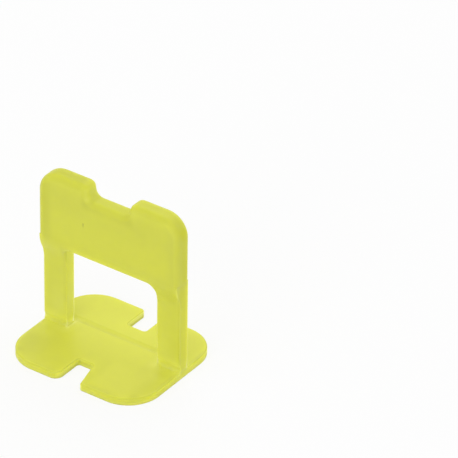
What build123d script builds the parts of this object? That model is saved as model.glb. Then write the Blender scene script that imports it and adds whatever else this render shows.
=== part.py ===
from build123d import *
import os

# Lengths are in millimetres.
# X runs along the upright plate, -Y is the side its head stands proud on and +Z is up.
# The origin is the middle of the base plate's underside, right below the legs' front faces.

# Base plate, which lies under the tiles in their bed of adhesive
base_width = 40.0
base_depth = 34.4
base_thickness = 1.8
base_corner_radius = 8.8
base_rim_radius = 0.4

# Slots in the front and rear edges of the base, which let adhesive through, and the rounding of
# the lobes beside them. Each wall is given by its distance from the middle of the base
front_slot_left = 3.1
front_slot_right = 1.3
front_slot_flare = 2.1
front_slot_depth = 8.3
rear_slot_left = 2.4
rear_slot_right = 2.95
rear_slot_depth = 7.6
slot_end_radius = 0.8
left_lobe_radius = 2.2
right_lobe_radius = 0.8
rear_lobe_radius = 1.1

# Legs of the upright plate, as thick as the joint between two tiles
leg_width = 6.75
leg_thickness = 3.15
leg_edge_radius = 0.2

# Window between the legs, open from the base up to just under the head's lower edge
window_height = 23.1
window_corner_radius = 2.1

# Head, thicker and a little wider than the legs, and the curved ramp that joins its front face
# to theirs
head_top = 44.7
head_lower_edge = 26.8
head_proud = 1.7
head_overhang = 0.4
head_corner_radius = 5.7
head_front_radius = 1.5
head_rear_radius = 1.4
ramp_height = 7.4

# Grip notch in the middle of the head's top edge
notch_depth = 3.9
notch_floor_width = 11.7
notch_wall_lean = 0.3
notch_floor_radius = 1.9
notch_shoulder_radius = 1.9

# Break-off neck at the foot of each leg, scooped out of its front and rear faces
neck_depth = 0.35
neck_height = 2.0

# Shallow groove across the base behind the plate, which runs in behind both legs
groove_gap = 0.3
groove_width = 2.0
groove_depth = 0.2
groove_reach = 3.0

# How far a cutting shape runs past the faces it cuts
overrun = 5.0

# Places worked out from the sizes above
side = base_width / 2
head_side = side + head_overhang
front_edge = -base_depth / 2
rear_edge = base_depth / 2
leg_root = base_thickness / 2
head_thickness = leg_thickness + head_proud
ramp_foot = head_lower_edge - ramp_height
window_half = side - leg_width
window_top = base_thickness + window_height
neck_middle = base_thickness + neck_height / 2
neck_radius = (neck_height**2 / 4 + neck_depth**2) / (2 * neck_depth)


def corners_near(sketch, places):
    """Corners of a flat sketch that lie nearest to the given places."""
    return [sketch.vertices().sort_by_distance((x, y, 0))[0] for x, y in places]


def upright_block(sketch):
    """Sketch of the plate seen from the front, drawn out over the head's thickness."""
    return extrude(Plane.XZ.offset(-leg_thickness) * sketch, head_thickness)


def slot(left, right, flare, edge, end):
    """Slot open through a base edge, whose right wall flares from its closed end to its mouth."""
    past = edge + (edge - end) / abs(edge - end) * overrun
    reach = right + flare * (past - end) / (edge - end)
    return make_face(Polyline((-left, past), (-left, end), (right, end), (reach, past), close=True))


def base_plate():
    """Plate with round corners, a rounded top rim and a slot in its front and rear edges."""
    front_end = front_edge + front_slot_depth
    rear_end = rear_edge - rear_slot_depth
    outline = RectangleRounded(base_width, base_depth, base_corner_radius)
    outline -= slot(front_slot_left, front_slot_right, front_slot_flare, front_edge, front_end)
    outline -= slot(rear_slot_left, rear_slot_right, 0, rear_edge, rear_end)
    left_lobe = (-front_slot_left, front_edge)
    right_lobe = (front_slot_right + front_slot_flare, front_edge)
    rear_lobes = [(-rear_slot_left, rear_edge), (rear_slot_right, rear_edge)]
    front_ends = [(-front_slot_left, front_end), (front_slot_right, front_end)]
    rear_ends = [(-rear_slot_left, rear_end), (rear_slot_right, rear_end)]
    outline = fillet(corners_near(outline, [left_lobe]), left_lobe_radius)
    outline = fillet(corners_near(outline, [right_lobe]), right_lobe_radius)
    outline = fillet(corners_near(outline, rear_lobes), rear_lobe_radius)
    outline = fillet(corners_near(outline, front_ends + rear_ends), slot_end_radius)
    plate = extrude(outline, base_thickness)
    return fillet(plate.faces().sort_by(Axis.Z)[-1].edges(), base_rim_radius)


def leg_section():
    """Legs and ramp seen from the side; two arcs that meet half way make the ramp."""
    half_way = (-head_proud / 2, (ramp_foot + head_lower_edge) / 2)
    lower = TangentArc((0, ramp_foot), half_way, tangent=(0, 1))
    upper = TangentArc((-head_proud, head_lower_edge), half_way, tangent=(0, -1))
    rest = Polyline(
        (-head_proud, head_lower_edge),
        (leg_thickness, head_lower_edge),
        (leg_thickness, leg_root),
        (0, leg_root),
        (0, ramp_foot),
    )
    return make_face(lower.edges() + upper.edges() + rest.edges())


def window_sheet():
    """Window seen from the front, round at its two upper corners."""
    sheet = Pos(0, window_top / 2) * Rectangle(2 * window_half, window_top)
    corners = [(-window_half, window_top), (window_half, window_top)]
    return fillet(corners_near(sheet, corners), window_corner_radius)


def legs():
    """Both legs and the ramp over the window, with softened edges."""
    pair = extrude(Plane.YZ * leg_section(), side, both=True)
    pair -= upright_block(window_sheet())
    upright_rims = pair.edges().filter_by(lambda e: abs(e.tangent_at(0.5).Z) > 0.5)
    across = pair.edges().filter_by(Axis.X)
    window_rims = across.filter_by(lambda e: abs(e.center().Z - window_top) < leg_edge_radius)
    return fillet(upright_rims + window_rims, leg_edge_radius)


def head_sheet():
    """Head seen from the front: round corners and the grip notch."""
    height = head_top - head_lower_edge
    sheet = Pos(0, head_lower_edge + height / 2) * Rectangle(2 * head_side, height)
    half_floor = notch_floor_width / 2
    half_mouth = half_floor + notch_wall_lean
    floor = [(x, head_top - notch_depth) for x in (-half_floor, half_floor)]
    mouth = [(x, head_top) for x in (half_mouth, -half_mouth)]
    sheet -= make_face(Polyline(*floor, *mouth, close=True))
    shoulders = [(-head_side, head_top), (head_side, head_top)]
    sheet = fillet(corners_near(sheet, shoulders), head_corner_radius)
    sheet = fillet(corners_near(sheet, floor), notch_floor_radius)
    return fillet(corners_near(sheet, mouth), notch_shoulder_radius)


def rim_of(face):
    """Edges of an upright face, apart from its straight lower edge."""
    return face.edges().sort_by(Axis.Z)[1:]


def head():
    """Head with rounded front and rear outlines, which end at its lower edge."""
    block = upright_block(head_sheet())
    block = fillet(rim_of(block.faces().sort_by(Axis.Y)[0]), head_front_radius)
    return fillet(rim_of(block.faces().sort_by(Axis.Y)[-1]), head_rear_radius)


def neck_cutter():
    """Two round bars along X that scoop the feet of the legs."""
    bar = Rot(0, 90, 0) * Cylinder(neck_radius, base_width + 2 * overrun)
    inset = neck_radius - neck_depth
    return Pos(0, -inset, neck_middle) * bar + Pos(0, leg_thickness + inset, neck_middle) * bar


def groove_cutter():
    """Bar behind the plate that leaves a round-bottomed groove in the base."""
    radius = (groove_width**2 / 4 + groove_depth**2) / (2 * groove_depth)
    bar = Rot(0, 90, 0) * Cylinder(radius, 2 * (window_half + groove_reach))
    middle = leg_thickness + groove_gap + groove_width / 2
    return Pos(0, middle, base_thickness + radius - groove_depth) * bar


def levelling_clip():
    """The whole clip, moulded in one piece."""
    grooved_plate = base_plate() - groove_cutter()
    necked_legs = legs() - neck_cutter()
    return grooved_plate + necked_legs + head()


clip = levelling_clip()
os.makedirs("parts", exist_ok=True)
export_step(clip, "parts/levelling_clip.step")
print(f"levelling_clip: {clip.volume:.0f} cubic mm, {len(clip.faces())} faces, valid {clip.is_valid}")
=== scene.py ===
import math

import bpy
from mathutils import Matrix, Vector


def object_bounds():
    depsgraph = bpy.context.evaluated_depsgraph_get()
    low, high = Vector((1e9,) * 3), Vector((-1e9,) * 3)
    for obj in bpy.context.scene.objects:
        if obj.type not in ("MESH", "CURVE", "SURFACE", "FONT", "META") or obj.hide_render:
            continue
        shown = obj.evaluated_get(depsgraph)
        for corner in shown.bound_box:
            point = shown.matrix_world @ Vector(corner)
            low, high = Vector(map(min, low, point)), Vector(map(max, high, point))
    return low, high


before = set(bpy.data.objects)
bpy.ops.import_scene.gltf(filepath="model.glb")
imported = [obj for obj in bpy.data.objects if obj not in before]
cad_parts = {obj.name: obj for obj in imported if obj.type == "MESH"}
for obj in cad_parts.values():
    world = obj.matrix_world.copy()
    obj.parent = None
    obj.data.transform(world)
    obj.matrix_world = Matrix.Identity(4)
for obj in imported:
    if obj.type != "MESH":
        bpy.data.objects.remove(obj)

cad_low, cad_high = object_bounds()
bpy.ops.object.select_all(action="DESELECT")

# Levelling clip
# The whole clip is one injection moulding in a translucent yellow-green polypropylene: base plate,
# break-off legs and head leave one mould. Its mesh is the solid itself, and this section gives it
# the plastic's look.
mm = 0.001


def linear_colour(srgb_hex):
    """A colour as written for the screen, turned linear by the sRGB curve."""
    levels = [int(srgb_hex[i : i + 2], 16) / 255 for i in (1, 3, 5)]
    return [v / 12.92 if v <= 0.04045 else ((v + 0.055) / 1.055) ** 2.4 for v in levels] + [1.0]


def add_node(tree, kind, settings=None, inputs=None):
    """Adds a node, sets its properties, and sets or links its inputs."""
    node = tree.nodes.new(kind)
    for name, value in (settings or {}).items():
        setattr(node, name, value)
    for socket, value in (inputs or {}).items():
        if isinstance(value, bpy.types.NodeSocket):
            tree.links.new(value, node.inputs[socket])
        else:
            node.inputs[socket].default_value = value
    return node


# Moulded polypropylene, pigmented yellow-green
# Light goes a few millimetres into it and comes out again, so shade and edges stay soft. Blue light
# goes less deep, and near the plate's underside all light does, so that its edge stays light down
# to the floor. The satin mould spreads the gloss, and the melt left faint clouds where it flowed.
# Sizes and reaches are in millimetres.
plate_hex = "#E0E252"
cloud_size = 3.2
cloud_detail = 3.0
cloud_roughness = 0.55
cloud_contrast = 0.03
grain_size = 0.35
grain_detail = 2.0
grain_height = 0.004
satin_smoothest = 0.38
satin_roughest = 0.48
plastic_ior = 1.49
plastic_specular = 0.3
plate_light_reach = 2.5
upright_light_reach = 7.0
foot_light_reach = 0.3
foot_height = 0.9
blue_light_share = 0.35

# Tints over the plastic, each laid over those before it: its colour, and the steps in millimetres,
# from where it begins to where it is full. "side" is the distance from the clip's middle plane.
# All but the fleck are painted light and shade. The upright is painted deeper in colour than the
# plate. This is painted shade in place of the light that the white floor sends up through the thin
# plate.
# The plate is painted lightest at the rear, where more light falls. The upright's outer edges, faces
# and corners carry deeper painted shade. The walls of the window, the notch and the slots, and the
# legs' feet, are painted paler: painted light that lightens the shade in these hollows. The plate's
# margins carry painted shade and its rim painted light, which even out the light at its rim. The
# fleck is a speck caught in the melt.
tints = {
    # Top of the plate: painted light at the rear, on the right lobe where light comes through the
    # window, and before the legs, where it lifts their shade. The left leg's shadow is painted on the
    # left lobe. Painted shade runs along the front and side margins and sits at the front corners.
    "painted_light_plate_rear": ("#EBED5C", [("Y", -8.0, 10.0)]),
    "painted_shadow_left_lobe": ("#DCDE54", [("X", -9.0, -16.0), ("Y", -1.0, -8.0)]),
    "painted_light_right_lobe": (
        "#E6E858",
        [("X", 3.6, 6.0), ("X", 17.5, 13.5), ("Y", -17.0, -14.0), ("Y", -2.5, -7.0)],
    ),
    "before_legs": (
        "#E7E95E",
        [("side", 12.0, 15.5), ("Y", -9.0, -4.0), ("Y", 3.0, 0.0), ("Z", 2.2, 1.8)],
    ),
    "painted_shade_front_margin": ("#D9DB58", [("side", 15.0, 9.0), ("Y", -15.2, -16.8)]),
    "painted_shade_side_margins": ("#DCDE62", [("side", 18.4, 19.7)]),
    "painted_shade_front_corners": ("#D4D650", [("side", 15.0, 17.2), ("Y", -12.2, -14.4)]),
    # Faces of the upright: painted shade over the whole upright, lighter on the head and low on the
    # legs. Deeper painted shade falls on the ramp's left, the head's upper part, the front edges of the
    # shoulders and of the notch, and the head's top left. Painted light sits on the notch's left wall.
    "legs": ("#CACC52", [("Z", 1.8, 2.2)]),
    "lower_legs": ("#D0D263", [("Z", 1.8, 2.2), ("Z", 16.0, 5.0)]),
    "painted_shade_ramp": ("#CCCE48", [("Z", 17.0, 23.0), ("X", 10.0, -10.0)]),
    "painted_light_head": ("#D0D24C", [("Z", 25.0, 30.0)]),
    "painted_shade_head_top": ("#CCCE4C", [("Z", 32.0, 40.0)]),
    "painted_shade_shoulders": ("#C5C748", [("Z", 42.6, 43.8), ("Y", -0.5, -1.3)]),
    "painted_shade_notch_rim": ("#C5C748", [("side", 8.0, 6.5), ("Z", 37.5, 40.0), ("Y", -0.5, -1.3)]),
    "painted_light_notch_wall": (
        "#D3D55C",
        [("X", -7.2, -6.0), ("X", -4.6, -5.8), ("Z", 40.2, 41.4), ("Z", 44.6, 43.6)],
    ),
    "painted_shade_left_top": ("#C6C846", [("X", -6.0, -9.0), ("Z", 44.0, 44.6)]),
    # Walls and rims of the window: painted light on its walls, most at their feet, and painted shade
    # on the rims of its front opening
    "painted_light_window_walls": (
        "#D3D55A",
        [("side", 13.8, 13.35), ("Y", 0.0, 0.5), ("Z", 1.8, 3.0), ("Z", 27.0, 24.5)],
    ),
    "painted_light_window_feet": (
        "#D5D778",
        [("side", 13.8, 13.35), ("Y", 0.0, 0.5), ("Z", 1.8, 3.0), ("Z", 20.0, 8.0)],
    ),
    "painted_shade_window_rims": (
        "#C4C64E",
        [("side", 14.8, 13.3), ("Y", 0.3, 0.0), ("Z", 6.0, 12.0), ("Z", 26.0, 24.0)],
    ),
    # Outer sides of the upright, with painted shade on their edges, faces and front corners and on
    # the head's left edge, and a fleck caught in the melt on the head's front
    "painted_shade_outer_edges": ("#C6C84E", [("side", 15.5, 20.2), ("Y", 3.12, 2.9), ("Z", 1.0, 8.0)]),
    "painted_shade_outer_faces": (
        "#C8CA36",
        [("side", 19.3, 20.1), ("Y", -0.8, 0.4), ("Y", 3.12, 2.9), ("Z", 1.8, 3.0)],
    ),
    "painted_shade_outer_corners": (
        "#BEC04A",
        [("side", 19.2, 19.8), ("Y", 0.7, 0.2), ("Z", 1.8, 6.0), ("Z", 25.0, 20.0)],
    ),
    "painted_shade_head_left": ("#C2C444", [("X", -15.5, -19.5), ("Z", 25.0, 28.0), ("Y", -0.4, -1.2)]),
    "fleck": (
        "#AAAC46",
        [("X", -7.3, -7.0), ("X", -6.7, -7.0), ("Z", 33.0, 34.2), ("Z", 34.7, 34.4), ("Y", 0.5, 0.0)],
    ),
    # Edge of the plate and the walls of its slots: painted shade along the plate's rim, deepest at its
    # top. Painted light falls on the rims at the sides and the rear and on the slot walls, most in the
    # rear slot. Painted shade sits at the front slot's end.
    "painted_shade_plate_edge": ("#CBCD4E", [("Z", 1.81, 1.75)]),
    "painted_shade_plate_side": ("#DADC50", [("Z", 1.6, 1.2)]),
    "painted_light_side_edges": ("#E4E650", [("side", 18.0, 19.9), ("Z", 1.8, 1.5)]),
    "painted_light_side_feet": ("#F4F64A", [("side", 18.0, 19.9), ("Z", 1.5, 0.8)]),
    "painted_light_rear_sides": ("#FEFF58", [("side", 18.0, 19.9), ("Y", 1.0, 5.0), ("Z", 1.7, 1.1)]),
    "painted_light_slot_walls": ("#F4F66A", [("side", 4.2, 3.5), ("Z", 1.75, 1.35)]),
    "painted_shade_slot_end": (
        "#D4D654",
        [("side", 3.3, 2.6), ("Y", -9.5, -9.0), ("Y", -5.0, -8.0), ("Z", 1.8, 1.5)],
    ),
    "painted_light_rear_slot": ("#FEFF84", [("side", 4.2, 3.5), ("Y", 6.0, 9.0), ("Z", 1.8, 1.5)]),
    # Groove, feet of the legs and foot of the plate's edge, all painted light: in the groove, on the
    # legs' feet and the plate round them, at the foot of the left leg's inner side, and low on the rim
    # all round, most at the sides
    "painted_light_groove": (
        "#E3E556",
        [("side", 17.0, 16.3), ("Y", 3.2, 3.6), ("Y", 5.9, 5.4), ("Z", 1.5, 1.58)],
    ),
    "painted_light_feet": (
        "#DFE16A",
        [("side", 12.5, 13.0), ("side", 21.0, 18.0), ("Z", 2.0, 2.2), ("Z", 6.0, 2.2)],
    ),
    "painted_light_foot_rings": (
        "#EEF06A",
        [("side", 10.5, 13.4), ("side", 21.0, 18.0), ("Y", -3.2, 0.0), ("Y", 6.4, 3.2), ("Z", 3.2, 1.8)],
    ),
    "painted_light_left_foot_corner": (
        "#F4F688",
        [("X", -12.3, -13.1), ("X", -13.9, -13.4), ("Y", -0.8, 0.2), ("Y", 4.0, 3.0), ("Z", 4.0, 2.4)],
    ),
    "painted_light_rim_foot": ("#E5E764", [("Z", 1.0, 0.4)]),
    "painted_light_side_rim_foot": ("#FEFF6A", [("side", 14.0, 19.0), ("Z", 1.0, 0.2)]),
}

plastic = bpy.data.materials.new("polypropylene_moulded_satin")
plastic.use_nodes = True
tree = plastic.node_tree
tree.nodes.clear()

metres = add_node(tree, "ShaderNodeTexCoord").outputs["Object"]
place = add_node(
    tree, "ShaderNodeVectorMath", {"operation": "SCALE"}, {0: metres, "Scale": 1 / mm}
).outputs["Vector"]
split = add_node(tree, "ShaderNodeSeparateXYZ", None, {0: place})
along = {name: split.outputs[name] for name in ("X", "Y", "Z")}
along["side"] = add_node(
    tree, "ShaderNodeMath", {"operation": "ABSOLUTE"}, {0: along["X"]}
).outputs["Value"]

# Sockets of a Mix node that mixes colours
mix_share = 0
mix_below = 6
mix_above = 7
mixed = 2

even_colour = linear_colour(plate_hex)
shares = {}
for name, (tint_hex, steps) in tints.items():
    share = 1.0
    for way, begins, full in steps:
        share = add_node(
            tree, "ShaderNodeMapRange", {"interpolation_type": "SMOOTHSTEP"},
            {"Value": along[way], "From Min": begins, "From Max": full, "To Max": share},
        ).outputs["Result"]
    shares[name] = share
    even_colour = add_node(
        tree, "ShaderNodeMix", {"data_type": "RGBA"},
        {mix_share: share, mix_below: even_colour, mix_above: linear_colour(tint_hex)},
    ).outputs[mixed]

clouds = add_node(
    tree, "ShaderNodeTexNoise", None,
    {
        "Vector": place,
        "Scale": 1 / cloud_size,
        "Detail": cloud_detail,
        "Roughness": cloud_roughness,
    },
).outputs["Fac"]
cloud_shade = add_node(
    tree, "ShaderNodeMapRange", None,
    {"Value": clouds, "To Min": 1 - cloud_contrast, "To Max": 1 + cloud_contrast},
).outputs["Result"]
colour = add_node(
    tree, "ShaderNodeVectorMath", {"operation": "SCALE"}, {0: even_colour, "Scale": cloud_shade}
).outputs["Vector"]
grain = add_node(
    tree, "ShaderNodeTexNoise", None,
    {"Vector": place, "Scale": 1 / grain_size, "Detail": grain_detail},
).outputs["Fac"]
gloss = add_node(
    tree, "ShaderNodeMapRange", None,
    {"Value": clouds, "To Min": satin_smoothest, "To Max": satin_roughest},
).outputs["Result"]
relief = add_node(
    tree, "ShaderNodeBump", None,
    {"Height": grain, "Distance": grain_height * mm, "Strength": 1.0},
).outputs["Normal"]
plate_reach = add_node(
    tree, "ShaderNodeMapRange", None,
    {
        "Value": along["Z"],
        "From Max": foot_height,
        "To Min": foot_light_reach * mm,
        "To Max": plate_light_reach * mm,
    },
).outputs["Result"]
reach = add_node(
    tree, "ShaderNodeMapRange", None,
    {"Value": shares["legs"], "To Min": plate_reach, "To Max": upright_light_reach * mm},
).outputs["Result"]
shader = add_node(
    tree, "ShaderNodeBsdfPrincipled", None,
    {
        "Base Color": colour,
        "Roughness": gloss,
        "IOR": plastic_ior,
        "Specular IOR Level": plastic_specular,
        "Normal": relief,
        "Subsurface Weight": 1.0,
        "Subsurface Radius": (1.0, 1.0, blue_light_share),
        "Subsurface Scale": reach,
    },
).outputs["BSDF"]
add_node(tree, "ShaderNodeOutputMaterial", None, {"Surface": shader})

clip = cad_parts["levelling_clip"]
for slot in clip.material_slots:
    slot.material = plastic

# Floor
# A wide sheet of white studio board. It takes the clip's soft shadow, and where the camera sees it
# bare it is as white as the backdrop.
floor_half = 1.5
floor_hex = "#FAFAFA"
shadow_share = 0.2

bpy.ops.mesh.primitive_plane_add(size=2 * floor_half, location=(0, 0, 0))
floor = bpy.context.object
floor.name = "floor"
board = bpy.data.materials.new("studio_board_white")
board.use_nodes = True
tree = board.node_tree
tree.nodes.clear()
matt = add_node(
    tree, "ShaderNodeBsdfDiffuse", None, {"Color": linear_colour(floor_hex)}
).outputs["BSDF"]
white = add_node(
    tree, "ShaderNodeEmission", None, {"Color": (1, 1, 1, 1), "Strength": 1.0}
).outputs["Emission"]
seen = add_node(tree, "ShaderNodeLightPath").outputs["Is Camera Ray"]
bleach = add_node(
    tree, "ShaderNodeMath", {"operation": "MULTIPLY"}, {0: seen, 1: 1 - shadow_share}
).outputs["Value"]
surface = add_node(tree, "ShaderNodeMixShader", None, {0: bleach, 1: matt, 2: white}).outputs[0]
add_node(tree, "ShaderNodeOutputMaterial", None, {"Surface": surface})
floor.data.materials.append(board)

# Room light
# Soft white light from all round, as in a light tent, and weaker from the left and the right, where
# grey screens stand.
tent_strength = 1.04
screen_depth = 0.64

world = bpy.data.worlds.new("light_tent")
bpy.context.scene.world = world
world.use_nodes = True
tree = world.node_tree
tree.nodes.clear()
direction = add_node(tree, "ShaderNodeTexCoord").outputs["Generated"]
sideways = add_node(tree, "ShaderNodeSeparateXYZ", None, {0: direction}).outputs["X"]
to_screens = add_node(
    tree, "ShaderNodeMath", {"operation": "MULTIPLY"}, {0: sideways, 1: sideways}
).outputs["Value"]
tent_level = add_node(
    tree, "ShaderNodeMath", {"operation": "MULTIPLY_ADD"},
    {0: to_screens, 1: -screen_depth * tent_strength, 2: tent_strength},
).outputs["Value"]
path = add_node(tree, "ShaderNodeLightPath")
bare = add_node(
    tree, "ShaderNodeMath", {"operation": "MAXIMUM"},
    {0: path.outputs["Is Camera Ray"], 1: path.outputs["Is Transmission Ray"]},
).outputs["Value"]
strength = add_node(
    tree, "ShaderNodeMapRange", None, {"Value": bare, "To Min": tent_level, "To Max": 1.0}
).outputs["Result"]
tent = add_node(
    tree, "ShaderNodeBackground", None, {"Color": (1, 1, 1, 1), "Strength": strength}
).outputs["Background"]
add_node(tree, "ShaderNodeOutputWorld", None, {"Surface": tent})

# Soft boxes
# One stands high behind the clip and lights the rear of the base, and a little of it comes through
# the window onto the front. The other lights the upright's front.
middle = (cad_low + cad_high) / 2


def way_out(azimuth, elevation):
    """Unit direction out from the clip, turned in degrees from its front to the right and up."""
    turn = math.radians(azimuth)
    rise = math.radians(elevation)
    level_part = math.cos(rise)
    return Vector((math.sin(turn) * level_part, -math.cos(turn) * level_part, math.sin(rise)))


def soft_box(name, azimuth, elevation, distance, width, level):
    """Square soft box aimed at the clip, which lights a facing white card to the given level."""
    lamp = bpy.data.lights.new(name, "AREA")
    lamp.shape = "SQUARE"
    lamp.size = width
    lamp.energy = level * (math.pi * distance) ** 2
    box = bpy.data.objects.new(name, lamp)
    bpy.context.scene.collection.objects.link(box)
    towards = way_out(azimuth, elevation)
    box.location = middle + towards * distance
    box.rotation_euler = towards.to_track_quat("Z", "Y").to_euler()


soft_box("rear_soft_box", azimuth=200, elevation=58, distance=0.7, width=0.5, level=0.08)
soft_box("front_soft_box", azimuth=5, elevation=25, distance=0.9, width=0.5, level=0.13)

# Camera
# Stands to the right of the clip's front and looks down on it from about a metre away. The clip
# lies left of the picture's middle and below it, as in the photograph. The aim is the picture point
# at which the clip's middle line shows at the aim height.
picture_px = 458
focal_px = 4670
aim_px_x = 111.34
aim_px_y = 281.76
aim_height = 20.0
camera_azimuth = 36.47
camera_elevation = 33.61
camera_distance = 1.1
sensor_width = 36.0
nearest_seen = 0.05
farthest_seen = 10.0

back = way_out(camera_azimuth, camera_elevation)
lens = bpy.data.cameras.new("camera")
lens.sensor_width = sensor_width
lens.lens = sensor_width * focal_px / picture_px
lens.clip_start = nearest_seen
lens.clip_end = farthest_seen
camera = bpy.data.objects.new("camera", lens)
bpy.context.scene.collection.objects.link(camera)
camera.location = Vector((0, 0, aim_height * mm)) + back * camera_distance
half = picture_px / 2
offset = Vector(((aim_px_x - half) / focal_px, (half - aim_px_y) / focal_px, -1))
swing = offset.rotation_difference(Vector((0, 0, -1)))
camera.rotation_mode = "QUATERNION"
camera.rotation_quaternion = (-back).to_track_quat("-Z", "Y") @ swing
bpy.context.scene.camera = camera

bpy.context.scene.view_settings.view_transform = "Standard"
